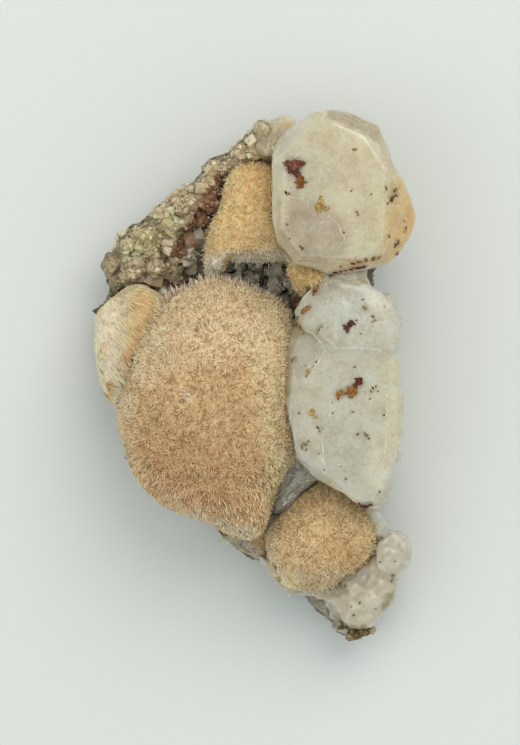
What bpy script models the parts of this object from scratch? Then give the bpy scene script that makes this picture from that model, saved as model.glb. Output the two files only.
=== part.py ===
# Thomsonite specimen: fuzzy zeolite balls and milky crystals grown on a broken piece of druse-covered rock.
# It lies on its flat broken base. Seen from above, +X is its right side and +Y is its far end.
# Every size is in millimetres. MM turns it into metres where a mesh is made.

import math
import random

import bmesh
import bpy
import numpy as np
from mathutils import Matrix, Vector, noise

MM = 0.001
GAP = 0.3  # the free space between two pieces that touch in nature

# The rock that everything grew on. Its outline runs anticlockwise from the right side.
ROCK_CENTRE = (-0.7, -0.4)
ROCK_OUTLINE = [
    (21.0, 2.0), (20.4, 10.0), (19.0, 15.4), (20.8, 17.8), (22.0, 23.5), (21.6, 32.0),
    (18.5, 38.5), (12.0, 42.2), (6.2, 43.0), (4.6, 44.1), (2.2, 44.2), (1.0, 42.9), (-2.4, 40.6),
    (-4.2, 38.0), (-6.6, 36.8), (-8.8, 34.7), (-12.0, 32.4), (-15.1, 29.8), (-17.6, 28.0),
    (-19.2, 25.8), (-22.0, 24.2), (-23.6, 21.8), (-22.9, 19.4), (-23.9, 17.4), (-25.3, 13.6),
    (-26.4, 11.6), (-25.4, 6.0), (-24.0, 0.0), (-21.0, -8.6), (-18.4, -14.6), (-14.6, -19.4),
    (-9.4, -23.0), (-6.8, -25.6), (-4.9, -27.7), (-2.4, -29.6), (0.4, -31.5), (2.7, -33.4),
    (5.1, -35.9), (6.7, -37.2), (9.2, -37.5), (11.4, -39.5), (13.6, -42.3), (15.2, -44.3),
    (17.1, -45.1), (19.3, -44.0), (20.9, -42.2), (21.4, -40.7), (23.2, -39.2), (24.2, -37.6),
    (24.7, -35.8), (24.0, -32.6), (22.6, -29.0), (22.3, -26.2), (21.2, -24.2), (20.0, -22.0),
    (19.6, -16.0), (20.2, -8.0),
]
ROCK_TOP = 10.5
ROCK_SIDES = 72
# Rings of the rock from the middle of its top to the middle of its base: share of the outline, share of the height
ROCK_RINGS = [
    (0.0, 1.0), (0.2, 1.0), (0.4, 1.0), (0.56, 1.0), (0.69, 1.0), (0.79, 1.0), (0.87, 1.0), (0.935, 0.98),
    (0.98, 0.92), (1.0, 0.78), (0.99, 0.58), (0.95, 0.38), (0.93, 0.17), (0.88, 0.0), (0.0, 0.0),
]
EDGE_RING = 9
TOP_ROUGHNESS = 0.5
SIDE_ROUGHNESS = 2.6
ROCK_GRAIN = 5.0
ROCK_DRIFT = Vector((0.5, 0.5, 0.5))
# Rises and hollows of the rock's top: x, y, reach, height
HILLS = [
    (-21.5, 19.0, 4.0, 3.0), (-16.5, 25.0, 4.5, 3.6), (-9.5, 32.0, 4.5, 4.2), (-2.5, 38.0, 3.5, 4.6),
    (3.5, 41.0, 4.0, 7.5), (1.5, 16.5, 4.5, -2.6), (-9.5, 23.0, 4.0, -1.6), (-12.5, 17.0, 3.5, -1.4),
    (6.5, -18.5, 4.0, 2.0), (-4.0, -27.5, 5.0, -3.2), (4.0, -34.0, 5.0, -3.4), (17.0, -42.5, 5.0, -2.0),
    (20.5, -24.5, 3.0, 1.5),
]

# Balls of needles: centre, height of the widest part above the base, rise above it, sink below it,
# icosphere subdivisions, and the outline seen from above
BALLS = {
    "main_ball": {
        "centre": (-7.8, -5.4), "waist": 16.5, "rise": 16.0, "sink": 10.0, "detail": 4, "seed": 3.0,
        "outline": [
            (-6.0, 16.8), (-2.4, 15.9), (1.4, 14.4), (5.3, 11.8), (7.2, 6.0), (7.6, 0.0), (7.9, -7.0),
            (7.1, -13.6), (5.2, -16.4), (3.6, -19.0), (2.5, -21.6), (2.6, -24.2), (1.9, -26.4), (0.2, -27.8),
            (-1.9, -28.1), (-4.4, -26.8), (-6.8, -24.8), (-9.9, -23.8), (-12.8, -22.6), (-16.0, -20.8),
            (-18.4, -18.6), (-20.2, -15.4), (-21.7, -11.6), (-22.7, -8.4), (-22.9, -5.2), (-21.9, -1.2),
            (-20.6, 3.0), (-18.2, 8.1), (-15.1, 12.2), (-11.4, 15.0), (-8.7, 16.4),
        ],
    },
    "left_ball": {
        "centre": (-21.6, 6.4), "waist": 12.5, "rise": 10.0, "sink": 6.5, "detail": 3, "seed": 11.0,
        "outline": [
            (-27.0, 7.6), (-26.9, 10.4), (-25.8, 12.3), (-23.5, 13.9), (-21.6, 15.3), (-19.9, 16.2),
            (-17.6, 15.3), (-15.0, 13.0), (-14.6, 8.0), (-17.4, 1.2), (-20.8, -4.0), (-22.9, -5.4),
            (-24.6, -3.8), (-25.9, -1.6), (-26.6, 2.0), (-26.9, 5.0),
        ],
    },
    "upper_ball": {
        "centre": (-0.8, 26.6), "waist": 13.5, "rise": 10.0, "sink": 6.0, "detail": 3, "seed": 19.0,
        "outline": [
            (-3.6, 36.7), (-0.7, 37.2), (2.0, 37.2), (4.2, 34.6), (6.1, 31.4), (6.6, 26.8), (7.4, 21.8),
            (6.6, 19.6), (5.1, 18.7), (2.6, 18.7), (0.2, 19.3), (-2.4, 20.0), (-4.3, 19.2), (-6.0, 17.2),
            (-8.0, 17.2), (-8.8, 19.4), (-7.9, 21.7), (-7.8, 24.2), (-6.3, 27.1), (-5.3, 29.7), (-4.6, 32.8),
        ],
    },
    "small_ball": {
        "centre": (10.0, 17.2), "waist": 13.0, "rise": 6.5, "sink": 4.5, "detail": 2, "seed": 27.0,
        "outline": [
            (7.0, 19.2), (10.4, 19.9), (13.2, 18.6), (12.8, 16.2), (11.0, 15.0), (9.4, 14.6), (8.0, 15.6), (7.0, 17.1),
        ],
    },
    "lower_ball": {
        "centre": (11.2, -27.2), "waist": 13.0, "rise": 11.0, "sink": 7.0, "detail": 3, "seed": 35.0,
        "outline": [
            (10.7, -17.6), (13.6, -17.9), (16.4, -19.2), (18.6, -21.2), (20.1, -23.6), (20.8, -26.4),
            (20.4, -29.6), (18.9, -31.8), (16.3, -33.0), (14.3, -34.4), (12.9, -35.7), (11.6, -36.5),
            (9.7, -35.7), (7.7, -35.6), (6.1, -36.1), (4.5, -35.1), (2.9, -32.4), (2.2, -29.3), (2.7, -25.8),
            (4.8, -23.2), (7.0, -21.2), (9.0, -18.9),
        ],
    },
}
BALL_FULLNESS = 0.86  # below 1 makes a ball's flanks steeper than an ellipsoid's
BALL_LUMPS = 0.045
LUMPS_ACROSS = 2.6
BALL_CALM = (-0.6, -0.3, 0.0, 0.3, 0.6)  # azimuths, in radians, that the outline is averaged over near a ball's top

# Milky crystals: corners of the widest outline, then rings as height, inset from that outline, and shift in x and y.
# dip is the slope of the crown along x and y.
CRYSTALS = {
    "upper_crystal": {
        "corners": [
            (6.1, 42.6), (10.2, 45.1), (14.9, 45.1), (20.6, 42.8), (23.2, 37.4), (27.2, 27.4), (25.8, 22.4),
            (22.2, 19.0), (12.9, 18.0), (6.2, 20.5), (3.1, 27.6), (3.2, 36.6),
        ],
        "rings": [
            (8.5, 5.5, 0.0, 0.0), (15.5, 0.5, 0.0, 0.0), (29.8, 0.0, 0.0, 0.0), (33.2, 2.9, -0.5, -0.5),
            (34.8, 8.0, -0.5, -0.5),
        ],
        "dip": (0.05, 0.06),
    },
    "middle_crystal": {
        "corners": [
            (7.0, 11.2), (9.2, 15.4), (12.6, 16.7), (18.6, 16.8), (22.4, 13.7), (24.5, 9.2), (24.6, 6.0),
            (22.0, 3.2), (12.5, 3.4), (8.6, 7.8),
        ],
        "rings": [
            (8.0, 3.6, 0.0, 0.0), (13.5, 0.4, 0.0, 0.0), (26.4, 0.0, 0.0, 0.0), (28.8, 2.3, 0.2, 0.2),
            (29.7, 4.8, 0.2, 0.4),
        ],
        "dip": (-0.03, -0.09),
    },
    "large_crystal": {
        "corners": [
            (5.3, 2.3), (7.0, 6.0), (14.0, 7.0), (22.6, 6.6), (24.3, 3.8), (25.2, -4.6), (24.4, -13.4),
            (22.8, -21.4), (20.2, -22.3), (12.9, -17.9), (7.2, -13.9), (4.6, -2.8),
        ],
        "rings": [
            (7.0, 4.6, 0.0, 0.0), (13.0, 0.5, 0.0, 0.0), (25.2, 0.0, 0.0, 0.0), (28.2, 3.4, 0.8, 0.3),
            (29.3, 7.0, 1.8, 0.8),
        ],
        "dip": (0.03, 0.06),
    },
    "foot_crystal": {
        "corners": [
            (20.9, -30.6), (24.2, -33.0), (24.6, -35.8), (23.6, -38.9), (21.2, -40.8), (19.6, -42.8),
            (16.6, -42.9), (13.6, -40.2), (12.2, -35.6), (14.6, -32.0), (18.0, -30.6),
        ],
        "rings": [
            (4.5, 2.0, 0.0, 0.0), (7.5, 0.1, 0.0, 0.0), (11.0, 0.3, 0.0, 0.0), (14.0, 2.6, 0.0, 0.5),
            (14.8, 5.0, 0.5, 1.0),
        ],
        "dip": (0.03, 0.16),
    },
    "bud_crystal": {
        "corners": [
            (26.9, -30.4), (26.3, -28.0), (24.4, -26.7), (22.2, -26.8), (20.4, -28.6), (20.2, -31.2),
            (21.6, -33.2), (24.0, -33.5), (26.0, -32.4),
        ],
        "rings": [
            (8.0, 1.6, 0.0, 0.0), (10.0, 0.3, 0.0, 0.0), (13.0, 0.0, 0.0, 0.0), (15.4, 0.6, 0.0, 0.0),
            (16.8, 2.4, 0.0, 0.0),
        ],
        "dip": (0.0, 0.0),
    },
}

# Patches of small druse crystals on the rock: outline, least and greatest width, greatest tilt in degrees
DRUSE_PATCHES = [
    {
        "outline": [
            (-25.2, 13.4), (-23.0, 21.0), (-19.0, 25.2), (-11.6, 31.8), (-3.6, 38.4), (1.8, 43.0), (5.0, 42.4),
            (4.0, 38.4), (-4.4, 37.2), (-6.2, 31.0), (-9.0, 26.6), (-10.0, 18.8), (-13.0, 15.8), (-19.6, 17.2),
        ],
        "width": (2.4, 4.4), "tilt": 34.0,
    },
    {
        "outline": [(-6.2, 17.0), (-2.4, 19.2), (5.0, 18.2), (7.0, 16.4), (8.4, 14.4), (6.6, 12.4), (1.6, 15.4)],
        "width": (2.2, 3.8), "tilt": 30.0,
    },
    {
        "outline": [(3.2, -22.4), (3.4, -20.4), (6.0, -16.6), (7.4, -15.0), (9.6, -17.2), (7.6, -20.4), (5.0, -22.8)],
        "width": (1.6, 2.4), "tilt": 25.0,
    },
    {
        "outline": [(14.2, -42.0), (16.6, -43.6), (18.8, -43.4), (20.0, -42.2), (18.0, -41.6)],
        "width": (1.6, 2.4), "tilt": 25.0,
    },
]
DRUSE_TRIES = 320  # places tried in each patch
DRUSE_SPACING = 0.7  # least distance between two crystals, as a share of their mean width
DRUSE_SHAPE = {"stem": 1.5, "point": 0.55, "lift": -0.25}  # as shares of a crystal's width
DRUSE_LEAN = 3.0
DRUSE_SEED = 5

# What each piece is cut back by, so that nothing overlaps
CUT_BY = {
    "side_crystals": ["upper_crystal"],
    "foot_crystals": ["large_crystal"],
    "main_ball": ["middle_crystal", "large_crystal"],
    "upper_ball": ["upper_crystal", "main_ball"],
    "small_ball": ["upper_crystal", "middle_crystal", "upper_ball"],
    "lower_ball": ["large_crystal", "foot_crystal", "bud_crystal", "main_ball"],
    "left_ball": ["main_ball"],
    "rock": [*BALLS, *CRYSTALS],
}

# Colour and roughness of each piece
FINISHES = {
    "rock": ((0.30, 0.28, 0.23), 0.75),
    "main_ball": ((0.66, 0.47, 0.28), 0.9),
    "left_ball": ((0.70, 0.52, 0.34), 0.9),
    "upper_ball": ((0.72, 0.50, 0.28), 0.9),
    "small_ball": ((0.72, 0.50, 0.28), 0.9),
    "lower_ball": ((0.70, 0.47, 0.26), 0.9),
    "upper_crystal": ((0.62, 0.57, 0.46), 0.35),
    "side_crystals": ((0.60, 0.60, 0.53), 0.35),
    "foot_crystals": ((0.58, 0.56, 0.49), 0.4),
}


def clear_scene():
    for old in list(bpy.data.objects):
        bpy.data.objects.remove(old)


def add_object(name, bm):
    """A new object in the scene from a bmesh in millimetres, with flat triangles."""
    bmesh.ops.triangulate(bm, faces=bm.faces)
    bmesh.ops.scale(bm, vec=(MM, MM, MM), verts=bm.verts)
    mesh = bpy.data.meshes.new(name)
    bm.to_mesh(mesh)
    bm.free()
    made = bpy.data.objects.new(name, mesh)
    bpy.context.scene.collection.objects.link(made)
    return made


def add_cutter(name, bm):
    cutter = add_object(name, bm)
    cutter.hide_render = True
    cutter.display_type = "WIRE"
    return cutter


def reach_from(centre, outline):
    """Turns an outline into a function that gives its distance from centre at any azimuth."""
    polar = sorted((math.atan2(y - centre[1], x - centre[0]), math.dist((x, y), centre)) for x, y in outline)
    azimuths, reaches = zip(*polar)
    return lambda azimuth: float(np.interp(azimuth, azimuths, reaches, period=2 * math.pi))


def calm_reach(reach, azimuth):
    """The reach without its sharp corners, as a mean over neighbouring azimuths."""
    return sum(reach(azimuth + turn) for turn in BALL_CALM) / len(BALL_CALM)


def ball_form(form, grow=0.0):
    """A lumpy closed dome over the outline, widest at its waist. grow makes it larger all round."""
    bm = bmesh.new()
    bmesh.ops.create_icosphere(bm, subdivisions=form["detail"], radius=1.0)
    reach = reach_from(form["centre"], form["outline"])
    seed = Vector((form["seed"], 0.0, 0.0))
    for vert in bm.verts:
        x, y, z = vert.co
        lump = 1.0 + BALL_LUMPS * noise.noise(vert.co * LUMPS_ACROSS + seed)
        azimuth = math.atan2(y, x)
        out = min(1.0, math.hypot(x, y))
        calm = calm_reach(reach, azimuth)
        width = (calm + (reach(azimuth) - calm) * out**2 + grow) * out**BALL_FULLNESS * lump
        height = (form["rise"] if z > 0 else form["sink"]) + grow
        vert.co = (
            form["centre"][0] + width * math.cos(azimuth),
            form["centre"][1] + width * math.sin(azimuth),
            form["waist"] + math.copysign(height * abs(z) ** BALL_FULLNESS * lump, z),
        )
    return bm


def crystal_form(form, grow=0.0):
    """A crystal with flat faces: the hull of its rings of corners. grow makes it larger all round."""
    bm = bmesh.new()
    corners = [Vector(corner) for corner in form["corners"]]
    centre = sum(corners, Vector((0.0, 0.0))) / len(corners)
    highest = len(form["rings"]) - 1
    for number, (height, inset, shift_x, shift_y) in enumerate(form["rings"]):
        grow_up = {0: -grow, highest: grow}.get(number, 0.0)
        lean = max(0.0, number / highest * 2 - 1)
        for corner in corners:
            out = (corner - centre).normalized()
            at = corner + out * (grow - inset) + Vector((shift_x, shift_y))
            dip = (at - centre).dot(Vector(form["dip"])) * lean
            bm.verts.new((at.x, at.y, height + dip + grow_up))
    hull = bmesh.ops.convex_hull(bm, input=bm.verts)
    unused = {part for part in hull["geom_interior"] + hull["geom_unused"] if isinstance(part, bmesh.types.BMVert)}
    bmesh.ops.delete(bm, geom=list(unused), context="VERTS")
    return bm


def form_of(name, grow=0.0):
    if name in BALLS:
        return ball_form(BALLS[name], grow)
    return crystal_form(CRYSTALS[name], grow)


def ground(x, y):
    """Height of the rock's top above its base, without the fall at its edge."""
    height = ROCK_TOP
    for hill_x, hill_y, reach, rise in HILLS:
        height += rise * math.exp(-((x - hill_x) ** 2 + (y - hill_y) ** 2) / (2 * reach**2))
    return height


def rock_form():
    """A thick irregular slab with a flat base, made by moving each ring of a sphere to its place on the rock."""
    bm = bmesh.new()
    last = len(ROCK_RINGS) - 1
    bmesh.ops.create_uvsphere(bm, u_segments=ROCK_SIDES, v_segments=last, radius=1.0)
    reach = reach_from(ROCK_CENTRE, ROCK_OUTLINE)
    for vert in bm.verts:
        ring = round(math.acos(max(-1.0, min(1.0, vert.co.z))) / math.pi * last)
        share, level = ROCK_RINGS[ring]
        azimuth = math.atan2(vert.co.y, vert.co.x)
        x = ROCK_CENTRE[0] + reach(azimuth) * share * math.cos(azimuth)
        y = ROCK_CENTRE[1] + reach(azimuth) * share * math.sin(azimuth)
        vert.co = (x, y, ground(x, y) * level)
        if level > 0:
            roughness = TOP_ROUGHNESS if ring <= EDGE_RING else SIDE_ROUGHNESS * (1.0 - level)
            vert.co += (noise.turbulence_vector(vert.co / ROCK_GRAIN, 3, True) - ROCK_DRIFT) * roughness
    return bm


def inside(point, outline):
    """True if the point is in the outline, by counting the sides to its right."""
    x, y = point
    crossings = 0
    for (x0, y0), (x1, y1) in zip(outline, outline[1:] + outline[:1]):
        if (y0 > y) != (y1 > y) and x < x0 + (y - y0) / (y1 - y0) * (x1 - x0):
            crossings += 1
    return crossings % 2 == 1


def add_point_crystal(bm, place, axis, width, turn):
    """One six-sided crystal with a pointed end, its foot sunk in the rock."""
    turned = axis.to_track_quat("Z", "Y").to_matrix().to_4x4() @ Matrix.Rotation(turn, 4, "Z")
    made = bmesh.ops.create_cone(
        bm, cap_ends=True, segments=6, radius1=width / 2, radius2=width / 2, depth=width * DRUSE_SHAPE["stem"],
        matrix=Matrix.Translation(place) @ turned,
    )
    faces = {face for vert in made["verts"] for face in vert.link_faces}
    bm.normal_update()
    end = max(faces, key=lambda face: face.calc_center_median().dot(axis))
    bmesh.ops.poke(bm, faces=[end], offset=width * DRUSE_SHAPE["point"])


def scatter(patch, draw):
    """Places and widths of a patch's crystals: each try is kept if it is in the patch and clear of the others."""
    xs, ys = zip(*patch["outline"])
    kept = []
    for _ in range(DRUSE_TRIES):
        spot = (draw.uniform(min(xs), max(xs)), draw.uniform(min(ys), max(ys)))
        width = draw.uniform(*patch["width"])
        clear = all(math.dist(spot, other) > DRUSE_SPACING * (width + wide) / 2 for other, wide in kept)
        if clear and inside(spot, patch["outline"]):
            kept.append((spot, width))
    return kept


def druse_form():
    """All the small crystals of the druse, standing on the rock's top. Those near its edge lean outwards."""
    bm = bmesh.new()
    draw = random.Random(DRUSE_SEED)
    reach = reach_from(ROCK_CENTRE, ROCK_OUTLINE)
    shares, levels = zip(*ROCK_RINGS[:EDGE_RING + 1])
    for patch in DRUSE_PATCHES:
        for (x, y), width in scatter(patch, draw):
            out = Vector((x, y)) - Vector(ROCK_CENTRE)
            share = out.length / reach(math.atan2(out.y, out.x))
            level = float(np.interp(share, shares, levels))
            tilt = math.radians(draw.uniform(0.0, patch["tilt"]))
            heading = draw.uniform(0.0, 2 * math.pi)
            axis = Vector((math.sin(tilt) * math.cos(heading), math.sin(tilt) * math.sin(heading), math.cos(tilt)))
            axis = (axis + (out.normalized() * DRUSE_LEAN * (1.0 - level)).to_3d()).normalized()
            place = Vector((x, y, ground(x, y) * level)) + axis * width * DRUSE_SHAPE["lift"]
            add_point_crystal(bm, place, axis, width, draw.uniform(0.0, math.pi / 3))
    return bm


def combine(target, tool, operation):
    modifier = target.modifiers.new(tool.name, "BOOLEAN")
    modifier.operation = operation
    modifier.object = tool
    modifier.use_self = operation == "UNION"


def keep_largest_body(obj):
    """Applies the modifiers, and drops crumbs that a cut has separated."""
    graph = bpy.context.evaluated_depsgraph_get()
    mesh = bpy.data.meshes.new_from_object(obj.evaluated_get(graph))
    obj.modifiers.clear()
    obj.data = mesh
    bm = bmesh.new()
    bm.from_mesh(mesh)
    left = set(bm.verts)
    bodies = []
    while left:
        body, edge_of_body = set(), [left.pop()]
        while edge_of_body:
            vert = edge_of_body.pop()
            body.add(vert)
            found = {edge.other_vert(vert) for edge in vert.link_edges} & left
            left -= found
            edge_of_body.extend(found)
        bodies.append(body)
    largest = max(bodies, key=len)
    bmesh.ops.delete(bm, geom=[vert for vert in bm.verts if vert not in largest], context="VERTS")
    bmesh.ops.triangulate(bm, faces=bm.faces)
    bm.to_mesh(mesh)
    bm.free()


def centre_on_base(pieces):
    """Moves the whole specimen so that its box stands on the origin."""
    points = [vert.co for piece in pieces for vert in piece.data.vertices]
    low = Vector(map(min, zip(*points)))
    high = Vector(map(max, zip(*points)))
    shift = Vector((-(low.x + high.x) / 2, -(low.y + high.y) / 2, -low.z))
    for piece in pieces:
        piece.data.transform(Matrix.Translation(shift))


def finish(obj):
    colour, roughness = FINISHES[obj.name]
    material = bpy.data.materials.new(obj.name)
    material.use_nodes = True
    shader = material.node_tree.nodes["Principled BSDF"]
    shader.inputs["Base Color"].default_value = (*colour, 1.0)
    shader.inputs["Roughness"].default_value = roughness
    obj.data.materials.clear()
    obj.data.materials.append(material)


def build():
    clear_scene()
    cutters = {name: add_cutter(f"{name}_room", form_of(name, GAP)) for name in [*BALLS, *CRYSTALS]}
    pieces = {name: add_object(name, form_of(name)) for name in BALLS}
    pieces["upper_crystal"] = add_object("upper_crystal", form_of("upper_crystal"))
    pieces["side_crystals"] = add_object("side_crystals", form_of("large_crystal"))
    combine(pieces["side_crystals"], add_cutter("middle_crystal", form_of("middle_crystal")), "UNION")
    pieces["foot_crystals"] = add_object("foot_crystals", form_of("foot_crystal"))
    combine(pieces["foot_crystals"], add_cutter("bud_crystal", form_of("bud_crystal")), "UNION")
    pieces["rock"] = add_object("rock", rock_form())
    combine(pieces["rock"], add_cutter("druse", druse_form()), "UNION")
    for name, others in CUT_BY.items():
        for other in others:
            combine(pieces[name], cutters[other], "DIFFERENCE")
    for piece in pieces.values():
        keep_largest_body(piece)
        finish(piece)
    centre_on_base(pieces.values())


build()
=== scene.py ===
import math

import bmesh
import bpy
import numpy as np
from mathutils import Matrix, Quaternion, Vector, noise
from mathutils.bvhtree import BVHTree


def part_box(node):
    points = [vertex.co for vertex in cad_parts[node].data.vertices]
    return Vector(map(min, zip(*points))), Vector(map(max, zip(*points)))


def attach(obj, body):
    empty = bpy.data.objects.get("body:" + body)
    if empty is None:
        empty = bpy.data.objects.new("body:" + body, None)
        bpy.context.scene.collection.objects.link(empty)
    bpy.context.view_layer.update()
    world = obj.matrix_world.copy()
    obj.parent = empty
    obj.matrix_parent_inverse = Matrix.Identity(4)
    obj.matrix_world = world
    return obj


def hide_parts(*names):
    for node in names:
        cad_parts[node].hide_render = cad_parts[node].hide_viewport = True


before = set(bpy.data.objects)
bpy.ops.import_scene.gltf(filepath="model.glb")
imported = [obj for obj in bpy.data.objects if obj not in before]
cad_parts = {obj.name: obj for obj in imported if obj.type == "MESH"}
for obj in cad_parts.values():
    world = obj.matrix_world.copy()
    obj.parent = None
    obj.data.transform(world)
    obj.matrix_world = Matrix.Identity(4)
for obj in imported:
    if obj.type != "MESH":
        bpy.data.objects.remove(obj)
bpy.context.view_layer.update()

mm = 0.001
pixel = 0.17 * mm  # what one pixel of the photo covers on the specimen
# its size, and the pixel that the specimen's middle has in it
photo = {"wide": 520, "tall": 745, "middle": (254.2, 377.1)}
neighbourGap = 0.36 * mm  # nearer to another piece than this, a surface is a hidden contact
noise.seed_set(4)  # so that the swirls are the same on every run
skyHigh = 60 * mm  # above everything
down = Vector((0, 0, -1))

def fromPhoto(across, below):
    return (across - photo["middle"][0]) * pixel, (photo["middle"][1] - below) * pixel


def linear(tone):  # a written colour such as c8a878 as the linear values that shaders take
    parts = [int(tone[n:n + 2], 16) / 255 for n in (0, 2, 4)]
    return [c / 12.92 if c <= 0.04045 else ((c + 0.055) / 1.055) ** 2.4 for c in parts]


def smoothStep(values, low, high):
    share = np.clip((np.asarray(values, float) - low) / (high - low), 0.0, 1.0)
    return share * share * (3 - 2 * share)


def wayTo(azimuth, tilt):  # the direction that leans by tilt from straight up, towards the azimuth
    turn, lean = math.radians(azimuth), math.radians(tilt)
    return Vector((math.cos(turn) * math.sin(lean), math.sin(turn) * math.sin(lean), math.cos(lean)))


# meshes

def mergedCopy(node):  # a CAD solid as a bmesh, with its loose triangles joined up
    bm = bmesh.new()
    bm.from_mesh(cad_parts[node].data)
    bmesh.ops.remove_doubles(bm, verts=bm.verts, dist=0.002 * mm)
    return bm


def shaped(name, bm, **modifiers):  # an object from a bmesh, with its modifiers applied
    mesh = bpy.data.meshes.new(name)
    bm.to_mesh(mesh)
    bm.free()
    thing = bpy.data.objects.new(name, mesh)
    bpy.context.scene.collection.objects.link(thing)
    for kind, settings in modifiers.items():
        made = thing.modifiers.new(kind, kind)
        for key, value in settings.items():
            setattr(made, key, value)
    graph = bpy.context.evaluated_depsgraph_get()
    thing.data = bpy.data.meshes.new_from_object(thing.evaluated_get(graph))
    thing.modifiers.clear()
    return thing


def addTo(bm, part):  # takes a part into a larger bmesh
    passing = bpy.data.meshes.new("passing")
    part.to_mesh(passing)
    part.free()
    bm.from_mesh(passing)
    bpy.data.meshes.remove(passing)


def subdivided(levels):
    return {"levels": levels, "render_levels": levels}


def remeshed(voxel):
    return {"mode": "VOXEL", "voxel_size": voxel}


def placesOf(mesh, kind="co"):  # the vertices' places, or their normals
    values = np.empty(len(mesh.vertices) * 3)
    mesh.vertices.foreach_get(kind, values)
    return values.reshape(-1, 3)


def movePoints(mesh, places):
    mesh.vertices.foreach_set("co", np.asarray(places).ravel())
    mesh.update()


def setSmooth(mesh, smooth):
    mesh.polygons.foreach_set("use_smooth", np.full(len(mesh.polygons), smooth))


def paint(mesh, name, values):  # one number or one colour for each vertex
    values = np.asarray(values, float)
    if values.ndim == 1:
        mesh.attributes.new(name, "FLOAT", "POINT").data.foreach_set("value", values)
    else:
        full = np.ones((len(values), 4))
        full[:, :3] = values
        mesh.attributes.new(name, "FLOAT_COLOR", "POINT").data.foreach_set("color", full.ravel())


def noiseAt(places, size, shift=0.0, octaves=2):  # smooth noise from about -1 to 1, with grains of this size
    offset = Vector((shift, shift * 0.7, -shift))
    spots = (Vector(place) / size + offset for place in places.tolist())
    return np.array([noise.fractal(spot, 1.0, 2.1, octaves) for spot in spots])


def swirlAt(places, size, shift=0.0):  # the same as directions
    offset = Vector((shift, shift * 0.7, -shift))
    return np.array([noise.noise_vector(Vector(place) / size + offset) for place in places.tolist()])


def cellsAt(places, size):  # how far each place is from the middle of the cell that it lies in
    return np.array([noise.voronoi(Vector(place) / size)[0][0] for place in places.tolist()])


def unit(ways):
    return ways / np.linalg.norm(ways, axis=1)[:, None]


def rideAs(thing, slotName, material, *nodes):  # the finished piece takes its place on the specimen
    thing.data.materials.clear()
    thing.data.materials.append(material)
    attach(thing, "root")
    if nodes:
        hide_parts(*nodes)


def linked(name, mesh):
    thing = bpy.data.objects.new(name, mesh)
    bpy.context.scene.collection.objects.link(thing)
    return thing


def scatterOn(mesh, spacing, draw):  # places all over a mesh, none nearer to another than the spacing
    mesh.calc_loop_triangles()
    corners = np.empty(len(mesh.loop_triangles) * 3, int)
    mesh.loop_triangles.foreach_get("vertices", corners)
    a, b, c = placesOf(mesh)[corners.reshape(-1, 3)].transpose(1, 0, 2)
    normals = np.cross(b - a, c - a)
    area = np.linalg.norm(normals, axis=1)
    tries = int(area.sum() / 2 / spacing**2 * 3)
    picked = draw.choice(len(area), tries, p=area / area.sum())
    along, up = np.sqrt(draw.random((tries, 1))), draw.random((tries, 1))
    spots = a[picked] * (1 - along) + b[picked] * along * (1 - up) + c[picked] * along * up
    beside = [(x, y, z) for x in (-1, 0, 1) for y in (-1, 0, 1) for z in (-1, 0, 1)]
    homes = np.floor(spots / spacing).astype(int).tolist()
    cells, kept = {}, []
    for number, (spot, (i, j, k)) in enumerate(zip(spots.tolist(), homes)):
        around = (cells.get((i + x, j + y, k + z), ()) for x, y, z in beside)
        if all(math.dist(spot, other) >= spacing for found in around for other in found):
            cells.setdefault((i, j, k), []).append(spot)
            kept.append(number)
    return spots[kept], normals[picked][kept] / area[picked][kept][:, None]


def treeOf(nodes):  # all of these CAD solids, to measure distances to
    bm = bmesh.new()
    for node in nodes:
        bm.from_mesh(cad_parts[node].data)
    tree = BVHTree.FromBMesh(bm)
    bm.free()
    return tree


def treesOver(things):  # one for each finished piece
    graph = bpy.context.evaluated_depsgraph_get()
    return [BVHTree.FromObject(thing, graph) for thing in things]


def highest(trees, x, y):  # the highest surface at a point, as its place and its normal
    hits = [tree.ray_cast(Vector((x, y, skyHigh)), down)[:2] for tree in trees]
    return max((hit for hit in hits if hit[0]), key=lambda hit: hit[0].z, default=(None, None))


def insideOutline(places, outline):  # which of the places lie in an outline given in pixels of the photo
    x, y = places[:, 0], places[:, 1]
    corners = [fromPhoto(*corner) for corner in outline]
    crossed = np.zeros(len(places), bool)
    for (x0, y0), (x1, y1) in zip(corners, corners[1:] + corners[:1]):
        if y0 != y1:
            crossed ^= ((y0 > y) != (y1 > y)) & (x < x0 + (y - y0) / (y1 - y0) * (x1 - x0))
    return crossed


def mixedIn(tones, tone, much):
    return tones * (1 - much[:, None]) + np.array(linear(tone)) * much[:, None]


def regionTones(places, ground, regions, fray=0.9 * mm):
    # the ground tone with others over it, each along a line between two pixels
    warp = swirlAt(places, 1.6 * mm) * fray + swirlAt(places, 0.5 * mm, 9.0) * fray * 0.4
    x, y = places[:, 0] + warp[:, 0], places[:, 1] + warp[:, 1]
    tones = np.tile(linear(ground), (len(places), 1))
    for tone, start, end, reach, strength in regions:
        (x0, y0), (x1, y1) = fromPhoto(*start), fromPhoto(*end)
        length = max((x1 - x0) ** 2 + (y1 - y0) ** 2, 1e-12)
        share = np.clip(((x - x0) * (x1 - x0) + (y - y0) * (y1 - y0)) / length, 0, 1)
        apart = np.hypot(x - x0 - share * (x1 - x0), y - y0 - share * (y1 - y0))
        tones = mixedIn(tones, tone, strength * (1 - smoothStep(apart / (reach * pixel), 0.6, 1.3)))
    return tones


# materials

def newMaterial(name, **settings):
    made = bpy.data.materials.new(name)
    made.use_nodes = True
    shader = made.node_tree.nodes["Principled BSDF"]
    for key, value in settings.items():
        shader.inputs[key.replace("_", " ")].default_value = value
    return made, made.node_tree, shader


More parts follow.
